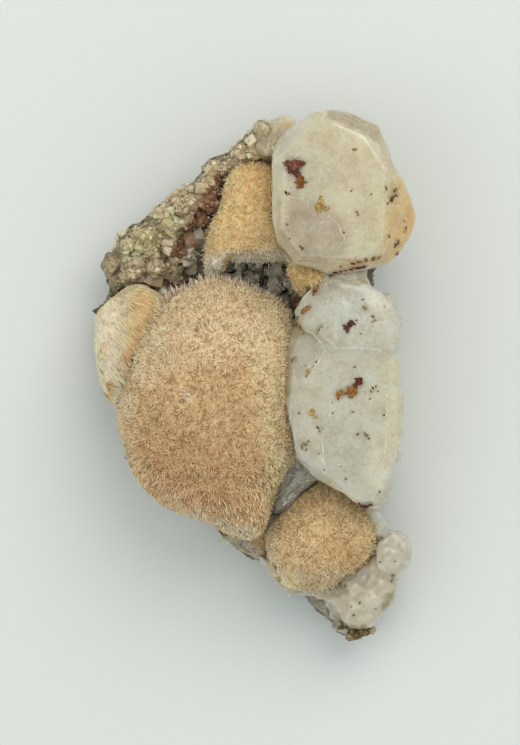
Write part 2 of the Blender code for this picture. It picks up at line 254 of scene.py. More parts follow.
def add(tree, kind, inputs, output=0, **settings):  # a shader node with its inputs set or linked
    made = tree.nodes.new("ShaderNode" + kind)
    for key, value in settings.items():
        setattr(made, key, value)
    for key, value in inputs.items():
        if isinstance(value, bpy.types.NodeSocket):
            tree.links.new(value, made.inputs[key])
        else:
            made.inputs[key].default_value = value
    return made.outputs[output]


def grains(tree, coords, size, detail=3.0, roughness=0.55, output=0):
    inputs = {"Vector": coords, "Scale": 1 / size, "Detail": detail, "Roughness": roughness}
    return add(tree, "TexNoise", inputs, output)


def between(tree, value, low, high, newLow=0.0, newHigh=1.0):
    return add(tree, "MapRange", {0: value, 1: low, 2: high, 3: newLow, 4: newHigh})


def calculate(tree, operation, first, second=0.0):
    return add(tree, "Math", {0: first, 1: second}, operation=operation)


def blended(tree, share, first, second, mode="MIX"):
    rgb = [(*linear(c), 1.0) if isinstance(c, str) else c for c in (first, second)]
    return add(tree, "Mix", {0: share, 6: rgb[0], 7: rgb[1]}, 2, data_type="RGBA", blend_type=mode)


def ramp(tree, share, stops):  # colours along a share from 0 to 1
    made = tree.nodes.new("ShaderNodeValToRGB")
    tree.links.new(share, made.inputs[0])
    for number, (at, tone) in enumerate(stops):
        stop = made.color_ramp.elements[number] if number < 2 else made.color_ramp.elements.new(at)
        stop.position = at
        stop.color = (*linear(tone), 1.0)
    return made.outputs[0]


def attribute(tree, name, output=2):
    return add(tree, "Attribute", {}, output, attribute_name=name)


def objectCoords(tree):
    return add(tree, "TexCoord", {}, 3)


def coloured(tree, shader, share, first, second):
    tree.links.new(blended(tree, share, first, second, "MULTIPLY"), shader.inputs["Base Color"])


def bumped(tree, shader, height, strength, distance):
    bump = add(tree, "Bump", {"Height": height, "Strength": strength, "Distance": distance})
    tree.links.new(bump, shader.inputs["Normal"])


# balls of needles. A region is a tone, the two pixels of its line, its reach and its strength. A fringe is the
# two pixels of its line, its least and greatest height, the count, length, azimuth and tilt of its needles.
# A lump is a pixel, a height and a radius.

# rootShade, where a ball gives it, is the tone of the painted shade at the roots of its needles.
mainBall = {
    "node": "main_ball", "seed": 1, "spacing": 0.27 * mm, "width": 0.15 * mm, "sunk": 0.46 * mm,
    "proud": 0.36 * mm, "ragged": 0.42 * mm, "wobble": 0.75, "lumpy": 0.2 * mm,
    "neighbours": ["side_crystals", "left_ball", "upper_ball", "lower_ball"], "tone": "f0d3a4",
    # the light cream regions along the top and sides and the darker orange ones on the lower part are partly
    # the ball's own tone, partly painted light from above and painted shade below
    "regions": [
        ("ffe8c4", (150, 320), (285, 300), 54, 0.85), ("ffe9c8", (140, 365), (150, 345), 26, 0.7),
        ("ffebce", (124, 400), (124, 440), 12, 0.8), ("ffedc6", (275, 330), (285, 440), 28, 0.6),
        ("e3c090", (185, 465), (225, 470), 40, 0.6), ("f2cca2", (160, 490), (200, 510), 18, 0.7),
        ("f4cb9e", (128, 430), (158, 486), 14, 0.75), ("f2c899", (205, 498), (265, 515), 14, 0.7),
        ("f8dfc4", (190, 514), (255, 536), 8, 0.7), ("fff6ea", (184, 391), (188, 397), 3.4, 0.6),
    ],
    "fringes": [
        ((158, 306), (176, 293), 13, 19, 60, 2.0 * mm, 118, 74),
        ((176, 296), (205, 284), 13, 20, 90, 1.6 * mm, 108, 66),
        ((206, 283), (262, 291), 13, 21, 200, 1.1 * mm, 85, 66),
        ((262, 291), (297, 326), 12, 21, 140, 1.2 * mm, 48, 66),
        ((299, 330), (284, 365), 18, 26, 80, 0.8 * mm, 20, 55),
        ((284, 365), (286, 410), 18, 26, 80, 0.6 * mm, 0, 55),
        ((286, 410), (297, 456), 18, 26, 80, 0.6 * mm, -10, 55),
        ((186, 510), (266, 532), 8, 12, 240, 1.1 * mm, -95, 70),
        ((150, 482), (188, 511), 8, 13, 110, 0.9 * mm, -122, 72),
        ((121, 425), (150, 482), 8, 14, 110, 0.7 * mm, -155, 72),
    ],
    "skirt": {"middle": (208, 402), "radii": (72, 92), "from": 192, "to": 322, "soft": 0.25},
    "skirtLie": 0.55,
}
leftBall = {
    "node": "left_ball", "seed": 2, "spacing": 0.27 * mm, "width": 0.12 * mm, "sunk": 0.35 * mm,
    "proud": 0.3 * mm, "ragged": 0.3 * mm, "wobble": 0.14, "lumpy": 0.12 * mm, "flat": 0.7,
    "rootShade": "dfc59c", "neighbours": ["main_ball"], "tone": "ffecc4",
    "regions": [
        ("fcebd0", (104, 300), (104, 380), 22, 0.9), ("f6d49c", (146, 296), (138, 306), 11, 0.6),
        ("ffd6a0", (146, 304), (130, 356), 9, 0.75), ("f0c68c", (135, 352), (128, 372), 6, 0.7),
        ("e2c698", (104, 346), (106, 350), 2.5, 0.5),
    ],
    "comb": {"way": -48, "tilt": 58, "share": 0.75},
    "bare": {"middle": (152, 340), "radii": (31, 66), "from": 95, "to": 262, "soft": 0.55},
}
upperBall = {
    "node": "upper_ball", "seed": 3, "spacing": 0.25 * mm, "width": 0.15 * mm, "sunk": 0.32 * mm,
    "proud": 0.4 * mm, "ragged": 0.4 * mm, "wobble": 0.75, "lumpy": 0.4 * mm, "rootShade": "e6d0aa",
    "hem": {"from": 218, "to": 296, "edge": 246, "rise": 2.1 * mm},
    "neighbours": ["upper_crystal", "main_ball", "small_ball"], "tone": "ffe2b0",
    # the first region paints the hem lighter where it curls down into shade: painted light
    "regions": [("fff4e0", (285, 262), (213, 268), 15, 1.0), ("fbd69e", (255, 175), (262, 200), 14, 0.5)],
    "lumps": [
        (213, 270, 14.5, 1.5), (222, 263, 16.4, 1.5), (234, 265, 16.8, 1.6), (249, 264, 16.8, 1.7),
        (263, 266, 16.6, 1.6), (278, 264, 17.0, 1.8), (288, 262, 17.4, 1.6),
    ],
    "fringes": [
        ((208, 268), (285, 266), 11, 16, 150, 1.5 * mm, -95, 66),
        ((228, 168), (206, 262), 11, 16, 110, 1.0 * mm, 178, 66),
        ((232, 162), (268, 160), 11, 16, 60, 1.0 * mm, 95, 66),
    ],
}
smallBall = {
    "node": "small_ball", "seed": 4, "spacing": 0.26 * mm, "width": 0.14 * mm, "sunk": 0.45 * mm,
    "proud": 0.45 * mm, "ragged": 0.5 * mm, "wobble": 0.8, "lumpy": 0.5 * mm,
    "neighbours": ["upper_crystal", "side_crystals", "upper_ball"], "tone": "ffe2b0", "rootShade": "eed8b0",
    "regions": [],
    "lumps": [
        (298, 271, 22.0, 1.8), (306, 277, 24.0, 2.0), (316, 279, 25.5, 2.0), (325, 278, 26.5, 1.5),
        (303, 284, 21.0, 1.8), (310, 275, 20.0, 2.0), (318, 276, 21.0, 2.0),
    ],
    "fringes": [((298, 270), (318, 284), 12, 16, 50, 1.2 * mm, -110, 60)],
}
lowerBall = {
    "node": "lower_ball", "seed": 5, "spacing": 0.26 * mm, "width": 0.14 * mm, "sunk": 0.45 * mm,
    "proud": 0.4 * mm, "ragged": 0.45 * mm, "wobble": 0.8, "lumpy": 0.28 * mm,
    "neighbours": ["side_crystals", "foot_crystals", "main_ball"], "tone": "fadfb0",
    "regions": [
        ("f4e6cc", (268, 535), (278, 578), 7, 0.9), ("f8e4c6", (300, 578), (340, 578), 9, 0.7),
        ("f0cc98", (335, 545), (352, 560), 14, 0.5),
    ],
    "bare": {"middle": (332, 530), "radii": (62, 58), "from": 168, "to": 238, "soft": 0.14},
    "fringes": [
        ((366, 500), (378, 560), 11, 17, 110, 1.2 * mm, 0, 62),
        ((372, 566), (305, 590), 9, 14, 150, 1.2 * mm, -75, 64),
        ((282, 512), (312, 486), 11, 16, 60, 1.0 * mm, 135, 62),
    ],
}


def needleFinish(looks):
    made, tree, shader = newMaterial(
        looks["node"] + "Fibre", Roughness=0.65, Sheen_Weight=0.15, Sheen_Roughness=0.5)
    coords = objectCoords(tree)
    fine = ramp(tree, grains(tree, coords, 0.35 * mm), [(0.3, "ece0d0"), (0.55, "ffffff")])
    # rootShade: painted shade that darkens each needle towards its root, where the needles shade each other
    rootShade = ramp(tree, attribute(tree, "rise"), [(0.3, looks.get("rootShade", "c4a478")), (0.75, "ffffff")])
    colour = blended(tree, 1.0, attribute(tree, "paint", 0), rootShade, "MULTIPLY")
    coloured(tree, shader, 0.8, colour, fine)
    bumped(tree, shader, grains(tree, coords, 0.25 * mm), 0.3, 0.08 * mm)
    return made


def needleMesh(name, roots, tips, thick, draw):
    # one three-sided needle with a slanted end from each root to its tip
    count = len(roots)
    ways = unit(tips - roots)
    across = unit(np.cross(ways, draw.normal(size=(count, 3))))
    over = np.cross(ways, across)
    points = np.empty((count, 6, 3))
    for corner in range(3):
        turn = math.radians(120 * corner)
        out = across * math.cos(turn) + over * math.sin(turn) * 0.8
        slant = draw.uniform(-0.12, 0.12, (count, 1))
        points[:, corner] = roots + out * thick
        points[:, corner + 3] = tips + out * thick * 0.5 + ways * slant * mm
    sides = [(2, 1, 0), (0, 1, 4, 3), (1, 2, 5, 4), (2, 0, 3, 5), (3, 4, 5)]
    faces = [[needle * 6 + corner for corner in side] for needle in range(count) for side in sides]
    mesh = bpy.data.meshes.new(name)
    mesh.from_pydata(points.reshape(-1, 3).tolist(), [], faces)
    paint(mesh, "rise", np.tile([0, 0, 0, 1, 1, 1], count))
    return linked(name, mesh)


def fringeNeedles(skin, looks, draw):  # long needles that stand out over the ball's edge
    tree = treesOver([skin])[0]
    roots, tips = [], []
    for start, end, low, high, count, length, azimuth, tilt in looks.get("fringes", ()):
        for _ in range(count):
            across, below = np.array(start) + draw.random() * (np.array(end) - np.array(start))
            place = Vector((*fromPhoto(across, below), draw.uniform(low, high) * mm))
            spot = tree.find_nearest(place)[0]
            way = wayTo(azimuth + draw.normal() * 11, tilt + draw.normal() * 9)
            roots.append(spot - way * 0.8 * mm)
            tips.append(spot + way * length * draw.uniform(0.35, 1.15))
    return np.array(roots).reshape(-1, 3), np.array(tips).reshape(-1, 3)


def growBall(looks):
    node = looks["node"]
    draw = np.random.default_rng(looks["seed"])
    low, high = (np.array(corner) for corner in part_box(node))
    heart = (low + high) / 2
    heart[2] = low[2] + (high[2] - low[2]) * 0.35
    half = np.array([*(high - low)[:2] / 2, high[2] - heart[2]])

    def rimAt(places, rimName):  # how far over a rim: outside an ellipse, in a range of directions
        if rimName not in looks:
            return np.zeros(len(places))
        rim = looks[rimName]
        x, y = fromPhoto(*rim["middle"])
        wide, tall = (radius * pixel for radius in rim["radii"])
        out = np.hypot((places[:, 0] - x) / wide, (places[:, 1] - y) / tall)
        out += noiseAt(places, 1.2 * mm, 4.0) * 0.05
        turn = np.degrees(np.arctan2(places[:, 1] - y, places[:, 0] - x)) % 360
        over = smoothStep(out, 1 - rim["soft"], 1 + rim["soft"])
        over = over * smoothStep(turn, rim["from"] - 8, rim["from"] + 8)
        return over * (1 - smoothStep(turn, rim["to"] - 8, rim["to"] + 8))

    def growthAt(places):  # the way that the needles point
        away = places - heart
        ways = unit(away / half**2) * 0.7 + unit(away) * 0.3
        if "comb" in looks:
            comb = looks["comb"]
            share = comb["share"] * (1 - rimAt(places, "bare"))[:, None]
            ways = ways * (1 - share) + np.array(wayTo(comb["way"], comb["tilt"])) * share
        return unit(ways)

    def tonesAt(places):  # the regions fade out down the ball's side
        seen = 0.1 + 0.9 * smoothStep((places[:, 2] - low[2]) / (high[2] - low[2]), 0.2, 0.6)[:, None]
        tones = regionTones(places, looks["tone"], looks["regions"])
        return tones * seen + np.array(linear(looks["tone"])) * (1 - seen)

    def laidDown(ways, spots, normals, flat):  # on a combed stretch the needles lie flat
        over = (spots - heart) * (1, 1, 0) / mm if "skirt" in looks else np.array(wayTo(-48, 80))
        lying = np.cross(normals, np.cross(over, normals))
        lying /= np.linalg.norm(lying, axis=1)[:, None] + 1e-9
        return unit(ways * (1 - flat) + (lying + normals * 0.12) * flat)

    bm = mergedCopy(node)
    for across, below, height, size in looks.get("lumps", ()):
        lump = bmesh.new()
        bmesh.ops.create_icosphere(lump, subdivisions=3, radius=size * mm)
        bmesh.ops.translate(lump, verts=lump.verts, vec=(*fromPhoto(across, below), height * mm))
        addTo(bm, lump)
    if "lumps" in looks:
        skin = shaped(node + "Core", bm, REMESH=remeshed(0.4 * mm), SMOOTH={"iterations": 8, "factor": 0.7})
    else:
        skin = shaped(node + "Core", bm, SUBSURF=subdivided(2))
    places = placesOf(skin.data)
    if "hem" in looks:  # the lower edge is drawn up between two upright lines
        hem = looks["hem"]
        across = photo["middle"][0] + places[:, 0] / pixel
        below = photo["middle"][1] - places[:, 1] / pixel
        drawn = smoothStep(across, hem["from"], hem["from"] + 10)
        drawn = drawn * (1 - smoothStep(across, hem["to"] - 10, hem["to"]))
        places[:, 1] += hem["rise"] * drawn * smoothStep(below, hem["edge"], hem["edge"] + 30)
    swell = (noiseAt(places, 1.7 * mm, 6.0) * looks["lumpy"])[:, None]
    movePoints(skin.data, places + placesOf(skin.data, "normal") * swell)

    spots, normals = scatterOn(skin.data, looks["spacing"], draw)
    others = treeOf(looks["neighbours"])
    apart = np.array([others.find_nearest(Vector(spot))[3] for spot in spots.tolist()])
    kept = apart > neighbourGap
    spots, normals, apart = spots[kept], normals[kept], apart[kept]
    bare, skirt = rimAt(spots, "bare")[:, None], rimAt(spots, "skirt")[:, None]
    flat = looks.get("flat", 0.0) * (1 - bare) + bare + looks.get("skirtLie", 0.0) * skirt
    ways = growthAt(spots) + draw.normal(size=spots.shape) * looks["wobble"] * 0.6
    ways = laidDown(unit(ways + swirlAt(spots, 1.3 * mm) * looks["wobble"]), spots, normals, flat)
    tufts = noiseAt(spots, 0.8 * mm, 2.0)
    pits = (draw.random(len(spots)) < 0.05) * draw.uniform(0.2, 0.6, len(spots)) * mm
    short = (draw.random(len(spots)) + np.clip(-tufts, 0, 1)) * looks["ragged"] * 0.6 + pits
    short *= 1 - 0.5 * bare[:, 0]
    long = 1.6 * mm * flat  # lying needles show much of their length
    # the needles by a neighbour reach over to it
    closer = 0.6 * mm * (1 - smoothStep(apart, 0.4 * mm, 1.4 * mm))
    reach = (looks["proud"] - short + closer)[:, None] + long * 0.5
    tips = spots + ways * reach - normals * 0.03 * mm * flat
    roots = spots - ways * (looks["sunk"] + 0.6 * mm + long * 0.5) - normals * 0.16 * mm * flat
    fringeRoots, fringeTips = fringeNeedles(skin, looks, draw)
    fringe = (len(fringeRoots), 1)
    thick = looks["width"] * draw.uniform(0.75, 1.2, (len(spots), 1))
    thick = np.vstack([thick, draw.uniform(0.09, 0.14, fringe) * mm])
    roots, tips = np.vstack([roots, fringeRoots]), np.vstack([tips, fringeTips])
    needles = needleMesh(node + "Needles", roots, tips, thick, draw)
    # each needle's brightness: a random spread of tone, plus painted light on the taller tufts and painted
    # shade on the shorter needles between them and in the pits
    light = 1 + draw.normal(size=len(spots)) * (0.13 + 0.06 * flat[:, 0] + 0.1 * skirt[:, 0])
    light = light + tufts * 0.17 + noiseAt(spots, 2.6 * mm, 14.0) * 0.07 - pits / mm * 0.5
    tones = tonesAt(spots) * light[:, None]
    fringeTones = np.tile(linear("fff0da"), fringe) * draw.uniform(0.85, 1.0, fringe)
    paint(needles.data, "paint", np.repeat(np.clip(np.vstack([tones, fringeTones]), 0, 0.95), 6, axis=0))

    places = placesOf(skin.data)
    bare = rimAt(places, "bare")
    depth = looks["sunk"] * (1 - bare) + noiseAt(places, 0.8 * mm) * 0.12 * mm * (1 - bare)
    movePoints(skin.data, places - growthAt(places) * depth[:, None])
    # the core under the needles takes a little of the painted root shade, the bare stretches none
    paint(skin.data, "rise", 0.7 + 0.3 * bare)
    paint(skin.data, "paint", tonesAt(places))
    setSmooth(skin.data, True)
    finish = needleFinish(looks)
    rideAs(needles, "needles", finish, node)
    rideAs(skin, "needles", finish, node)
    print(node, "has", len(thick), "needles")


# the rock and its crust

rockLooks = {
    "voxel": 0.38 * mm, "crag": 2.2 * mm, "cragSize": 5 * mm, "chip": 0.8 * mm, "chipSize": 1.9 * mm,
    "grain": 0.22 * mm, "grainSize": 0.8 * mm, "side": "78725f",
    "sideMarks": [("5c594c", 5.0), ("878066", 3.2), ("7f6a50", 4.1), ("a09984", 1.2)],
    "regions": [
        ("c8b492", (120, 250), (270, 130), 60, 1.0), ("e8d6b0", (135, 245), (165, 215), 18, 0.8),
        ("cdbd8a", (140, 240), (160, 225), 12, 0.6), ("d4c09c", (150, 210), (230, 150), 14, 0.8),
        ("e6d6b4", (262, 140), (285, 130), 18, 0.9), ("86553a", (222, 182), (178, 250), 8, 0.85),
        ("b8b1a0", (196, 262), (208, 240), 13, 0.85), ("8d7c66", (150, 285), (190, 275), 9, 0.7),
        ("c4bcae", (225, 276), (300, 288), 20, 0.95), ("8a5c3a", (298, 298), (292, 305), 7, 0.8),
        ("c2bca8", (300, 470), (275, 508), 18, 0.95), ("e6bc88", (258, 530), (260, 556), 9, 0.85),
        ("ded4bc", (232, 540), (300, 592), 8, 0.85), ("d4c9b0", (330, 590), (390, 590), 22, 0.8),
        ("bcb4a0", (310, 598), (345, 635), 8, 0.8), ("7e6226", (348, 632), (366, 636), 10, 0.9),
        ("a09f5c", (388, 604), (396, 596), 6, 0.8), ("615c3c", (98, 308), (122, 290), 9, 0.9),
        ("2d2a25", (115, 274), (118, 270), 3, 0.8), ("827c66", (364, 276), (374, 280), 12, 0.9),
    ],
}


def rockFinish():
    made, tree, shader = newMaterial("craggyRock", Roughness=0.8)
    coords = objectCoords(tree)
    stops = [(0.3, "8a857a"), (0.7, "ffffff"), (0.5, "d0c8ba")]
    mottled = ramp(tree, grains(tree, coords, 1.4 * mm, 6.0, 0.7), stops)
    specks = ramp(tree, grains(tree, coords, 0.35 * mm, 2.0), [(0.34, "4a453c"), (0.5, "ffffff")])
    colour = blended(tree, 0.75, attribute(tree, "paint", 0), mottled, "MULTIPLY")
    coloured(tree, shader, 0.5, colour, specks)
    bumped(tree, shader, grains(tree, coords, 0.6 * mm, 8.0, 0.7), 0.7, 0.25 * mm)
    return made


def buildRock():
    rock = shaped("craggyRock", mergedCopy("rock"), REMESH=remeshed(rockLooks["voxel"]))
    places, normals = placesOf(rock.data), placesOf(rock.data, "normal")
    hackly = cellsAt(places, rockLooks["cragSize"]) - 0.45
    chips = cellsAt(places, rockLooks["chipSize"]) - 0.45
    grain = noiseAt(places, rockLooks["grainSize"], 1.0, 3)
    side = 1 - smoothStep(normals[:, 2], 0.1, 0.6)
    free = smoothStep(places[:, 2], 0.2 * mm, 1.6 * mm)  # the base stays flat
    push = hackly * rockLooks["crag"] * (0.2 + 0.8 * side) + chips * rockLooks["chip"] * (0.4 + 0.6 * side)
    push = free * (push - 0.3 * mm * side + grain * rockLooks["grain"])
    moved = places + normals * push[:, None]
    for lift, outline in druseLooks["patches"]:
        moved[:, 2] += lift * insideOutline(places, outline) * smoothStep(normals[:, 2], 0.2, 0.7)
    movePoints(rock.data, moved)
    upward = smoothStep(normals[:, 2], 0.0, 0.5)[:, None]
    tones = np.tile(linear(rockLooks["side"]), (len(places), 1))
    for number, (tone, size) in enumerate(rockLooks["sideMarks"]):
        tones = mixedIn(tones, tone, smoothStep(noiseAt(places, size * mm, number * 7.0, 4), 0.05, 0.35))
    top = regionTones(places, rockLooks["side"], rockLooks["regions"])
    paint(rock.data, "paint", top * upward + tones * (1 - upward))
    setSmooth(rock.data, False)
    rideAs(rock, "druse_rock", rockFinish(), "rock")
    print("the rock has", len(rock.data.polygons), "faces")
    return rock


# a patch is how far the rock rises there and its outline; a size is a spacing, the least and the greatest width
druseLooks = {
    "patches": [
        (
            0.0,
            [
                (104, 300), (114, 286), (124, 268), (121, 248), (128, 234), (144, 218), (158, 204),
                (174, 190), (192, 178), (212, 164), (228, 152), (239, 140), (252, 136), (258, 134),
                (256, 148), (262, 160), (232, 164), (228, 190), (222, 214), (206, 230), (206, 262),
                (214, 280), (190, 290), (166, 300), (150, 290), (134, 280), (118, 292),
            ],
        ),
        (
            3.4 * mm,
            [
                (206, 268), (222, 258), (254, 252), (292, 256), (308, 262), (304, 300), (292, 316),
                (262, 298), (236, 288),
            ],
        ),
        (2.0 * mm, [(297, 452), (322, 482), (308, 490), (284, 516), (264, 516), (266, 496), (282, 474)]),
        (
            0.0,
            [
                (338, 612), (352, 612), (372, 616), (378, 624), (366, 636), (354, 642), (344, 638),
                (332, 624),
            ],
        ),
        (0.0, [(386, 606), (398, 584), (400, 596), (393, 608)]),
    ],
    "sizes": [
        (1.5 * mm, 1.6 * mm, 2.8 * mm), (0.85 * mm, 0.8 * mm, 1.5 * mm), (0.5 * mm, 0.35 * mm, 0.7 * mm),
    ],
}


def glassyFinish(name="glassyDruse", clear=0.3):
    made, tree, shader = newMaterial(
        name, Roughness=0.14, IOR=1.54, Transmission_Weight=clear, Coat_Weight=0.3)
    coords = objectCoords(tree)
    cloudy = ramp(tree, grains(tree, coords, 0.7 * mm, 4.0, 0.65), [(0.3, "c8c2b6"), (0.55, "ffffff")])
    coloured(tree, shader, 0.8, attribute(tree, "paint", 0), cloudy)
    bumped(tree, shader, grains(tree, coords, 0.4 * mm, 3.0), 0.15, 0.08 * mm)
    return made


def crystalPoint(spot, axis, wide, tall, draw):  # the corners and faces of one pointed crystal
    turn = axis.to_track_quat("Z", "Y").to_matrix()
    sides = int(draw.integers(4, 7))
    twist = draw.uniform(0, 6.28)
    angles = twist + (np.arange(sides) + draw.uniform(-0.25, 0.25, sides)) * math.tau / sides
    girth = wide / 2 * draw.uniform(0.75, 1.2, sides)
    shoulder = tall * draw.uniform(0.15, 0.7, sides)
    corners = [
        spot + turn @ Vector((g * math.cos(a), g * math.sin(a) * 0.8, h))
        for heights in (np.full(sides, -wide * 0.7), shoulder)
        for g, a, h in zip(girth, angles, heights)
    ]
    corners.append(spot + turn @ Vector((*draw.uniform(-0.28, 0.28, 2) * wide, tall)))
    faces = [list(range(sides))[::-1]]
    for corner in range(sides):
        after = (corner + 1) % sides
        faces.append([corner, after, sides + after, sides + corner])
        faces.append([sides + corner, sides + after, 2 * sides])
    return corners, faces


def buildDruse(rock):
    draw = np.random.default_rng(7)
    points, faces, owners, middles, lights = [], [], [], [], []
    others = treeOf([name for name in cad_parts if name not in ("rock", "upper_ball")])
    ground = treesOver([rock])[0]
    outlines = [outline for _, outline in druseLooks["patches"]]

    def nearEdge(spot, reach):  # whether the rock ends or falls away within this reach
        for turn in range(0, 360, 45):
            beside = spot + wayTo(turn, 90) * reach + Vector((0, 0, 20 * mm))
            hit = ground.ray_cast(beside, down)[0]
            if hit is None or hit.z < spot.z - reach - 1.2 * mm:
                return True
        return False

    for spacing, least, greatest in druseLooks["sizes"]:
        spots, normals = scatterOn(rock.data, spacing, draw)
        patches = [insideOutline(spots, outline) & (normals[:, 2] > 0.45) for outline in outlines]
        if greatest < 2 * mm:  # small crystals grow in clusters on the rock's sides too
            side = (np.abs(normals[:, 2]) < 0.45) & (spots[:, 2] > 2 * mm)
            patches.append(side & (noiseAt(spots, 4 * mm, 8.0) > 0.22))
        for number, wanted in enumerate(patches):
            for spot, normal in zip(spots[wanted].tolist(), normals[wanted].tolist()):
                wide = draw.uniform(least, greatest)
                spot = Vector(spot)
                if number < len(outlines) and nearEdge(spot, wide * 0.5):
                    continue
                if others.find_nearest(spot)[3] < wide * 0.3:
                    continue
                lean = Vector((0, 0, 0.6)) + Vector(draw.normal(size=3)) * 0.6
                axis = (Vector(normal) + lean).normalized()
                corners, sides = crystalPoint(spot, axis, wide, wide * draw.uniform(0.3, 0.8), draw)
                faces += [[len(points) + corner for corner in side] for side in sides]
                points += corners
                owners += [len(middles)] * len(corners)
                middles.append(spot)
                lights.append(draw.uniform(0.84, 1.16))
    mesh = bpy.data.meshes.new("glassyDruse")
    mesh.from_pydata([list(point) for point in points], [], faces)
    middles = np.array([list(middle) for middle in middles])
    colours = regionTones(middles, "b6b09a", rockLooks["regions"], 1.5 * mm)
    colours = np.clip(colours * np.array(lights)[:, None] * 1.45, 0.01, 0.95)
    paint(mesh, "paint", colours[np.array(owners)])
    rideAs(linked("glassyDruse", mesh), "druse_rock", glassyFinish(), "rock")
    print("the druse has", len(middles), "crystals")


# milky crystals: each block is an upright prism that planes have cut, as (pixel and height, azimuth, tilt)

upperCrystal = {
    "node": "upper_crystal", "voxel": 0.28 * mm, "soft": 3, "swell": 0.07 * mm, "hackly": 0.14 * mm,
    "hackle": 3.4 * mm, "tone": "fff0d0", "clear": 0.38,
    "blocks": [
        {
            "from": 9.0, "to": 35.1,
            "outline": [
                (292, 127), (305, 120), (314, 113), (321, 112), (338, 112), (350, 114.5), (364, 120.5),
                (377, 127.5), (386, 148), (391, 164), (400, 178), (408, 196), (415, 216), (412, 232),
                (404, 246), (397, 256), (386, 265), (362, 271), (344, 274), (328, 275), (311, 268),
                (295, 265), (277, 243), (272.5, 223), (272, 173), (272.5, 151), (280, 138.5),
            ],
            "cuts": [
                ((330, 195, 34.7), 225, 3), ((347, 129, 34.4), 66, 64), ((376, 152, 34.2), 33, 60),
                ((390, 205, 33.6), -4, 48), ((383, 247, 33.4), -45, 52), ((335, 263, 33.0), -95, 60),
                ((286, 243, 33.0), 215, 58), ((279, 200, 33.4), 180, 60), ((300, 142, 33.7), 135, 36),
                ((285, 140, 28.5), 145, 72), ((414, 220, 20.0), -5, 112), ((396, 256, 19.0), -42, 110),
                ((384, 140, 21.0), 28, 108), ((345, 113, 19.0), 80, 112), ((340, 274, 19.0), -95, 106),
                ((400, 180, 22.0), 22, 106), ((298, 122, 18.0), 125, 114),
            ],
        },
    ],
    "lumps": [
        (277, 132, 17.2, 2.3), (268, 128, 16.0, 1.9), (285, 125, 15.6, 2.0), (263, 138, 17.6, 1.7),
        (286, 138, 17.0, 2.0), (274, 141, 18.0, 1.9), (268, 149, 18.4, 1.8), (261, 148, 18.0, 1.2),
    ],
    "regions": [
        ("e6cfa6", (262, 134), (284, 128), 12, 0.9), ("e0c89e", (266, 148), (274, 142), 12, 0.9),
        ("e0ceb2", (300, 235), (325, 240), 26, 0.95), ("e2d2b8", (300, 205), (318, 225), 14, 0.8),
        ("f4ecd4", (290, 150), (310, 180), 22, 0.7), ("fff4d0", (380, 200), (368, 245), 18, 0.8),
        ("ffd690", (408, 200), (402, 245), 24, 0.75), ("ffd286", (412, 215), (398, 252), 8, 0.6),
        ("f6d6a0", (345, 265), (385, 263), 6, 0.7), ("d4bf98", (334, 117), (378, 136), 8, 0.95),
        ("e6d4b0", (380, 140), (392, 172), 5, 0.8), ("f6ecd2", (312, 117), (316, 122), 6, 0.7),
    ],
}
